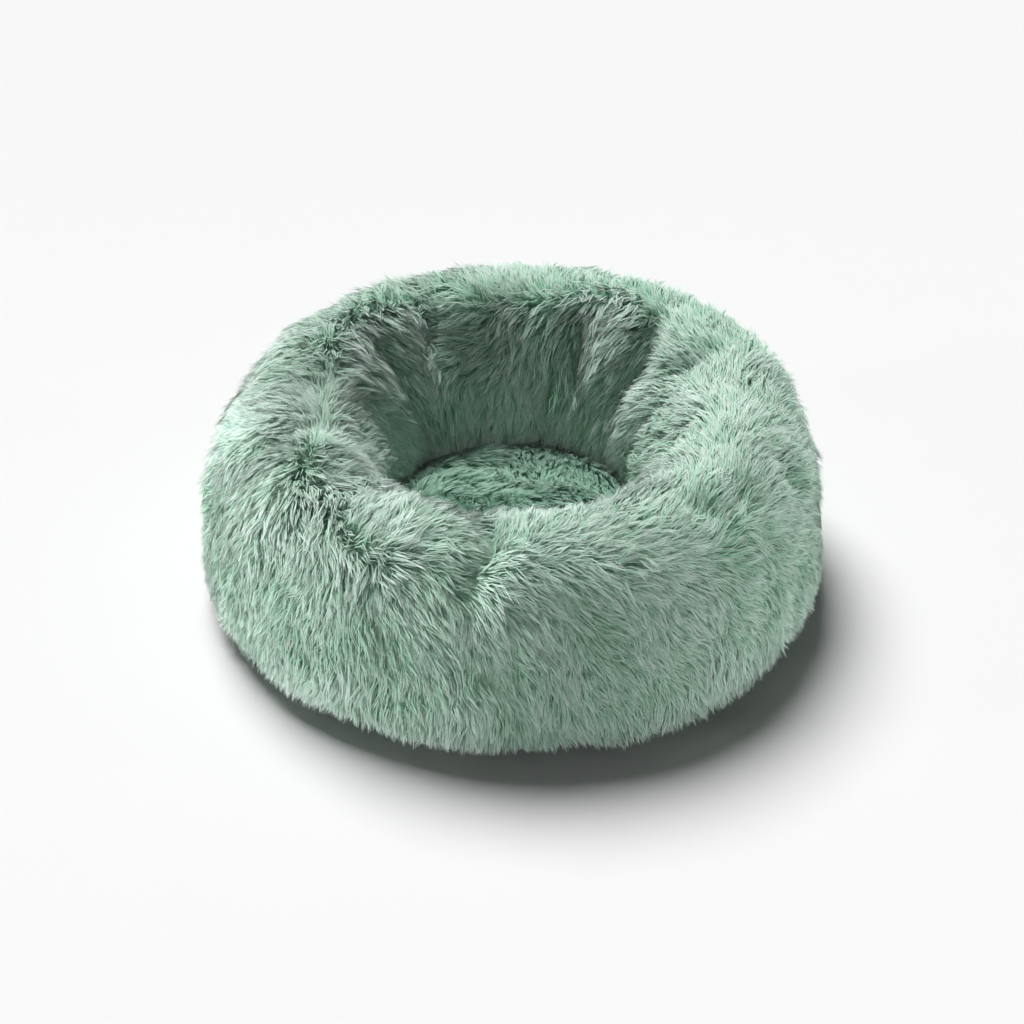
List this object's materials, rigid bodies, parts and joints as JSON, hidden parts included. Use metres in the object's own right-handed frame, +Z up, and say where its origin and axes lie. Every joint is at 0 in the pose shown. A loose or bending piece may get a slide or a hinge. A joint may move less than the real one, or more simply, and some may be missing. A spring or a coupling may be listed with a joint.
{
  "type": "cat cushion",
  "caption": "Round plush cat bed: a stuffed fur ring around a deep sleeping well, a lift-out cushion in it, and a zip in the base edge.",
  "frame": {"origin": "on the floor under the middle of the bed", "axes": "+Z up out of the well, -Y towards the front, zip at the back (+Y)"},
  "size_m": [0.492, 0.492, 0.174],
  "materials": {
    "mint_fur": "long-pile faux fur, mint green with paler tips",
    "base_cloth": "plain woven cloth with a coated back, non-slip underneath",
    "binding_tape": "ribbed woven tape, matt",
    "nonwoven": "white non-woven cloth",
    "fibre_filling": "white polyester fibre",
    "elastic": "white braided elastic",
    "label_satin": "white satin ribbon, bare",
    "zip_plastic": "nylon coil, satin",
    "zip_metal": "nickel-plated, satin"
  },
  "bodies": {
    "bed": {"bolster_fur": "mint_fur", "bolster_liner": "nonwoven", "bolster_filling": "fibre_filling", "gather_elastic": "elastic", "outer_seam_binding": "binding_tape", "base_cloth": "base_cloth", "zip_tape_lower": "binding_tape", "zip_tape_upper": "binding_tape", "zip_coil_lower": "zip_plastic", "zip_coil_upper": "zip_plastic", "zip_stop_start": "zip_plastic", "zip_stop_end": "zip_plastic", "care_label": "label_satin"},
    "centre_cushion": {"cushion_fur_top": "mint_fur", "cushion_underside": "base_cloth", "cushion_filling": "fibre_filling", "cushion_edge_binding": "binding_tape"},
    "slider": {"zip_slider": "zip_metal"},
    "pull": {"zip_pull": "zip_metal"}
  },
  "joints": [
    {"name": "cushion_lift", "type": "slide", "parent": "bed", "child": "centre_cushion", "axis": [0, 0, 1], "range_m": [0, 0.19]},
    {"name": "slider_travel", "type": "hinge", "parent": "bed", "child": "slider", "pos_m": [0, 0, 0.009], "axis": [0, 0, 1], "range_deg": [0, 84.4]},
    {"name": "pull_flip", "type": "hinge", "parent": "slider", "child": "pull", "pos_m": [0.15024, 0.16561, 0.009], "axis": [0, 0, -1], "range_deg": [0, 180]}
  ]
}
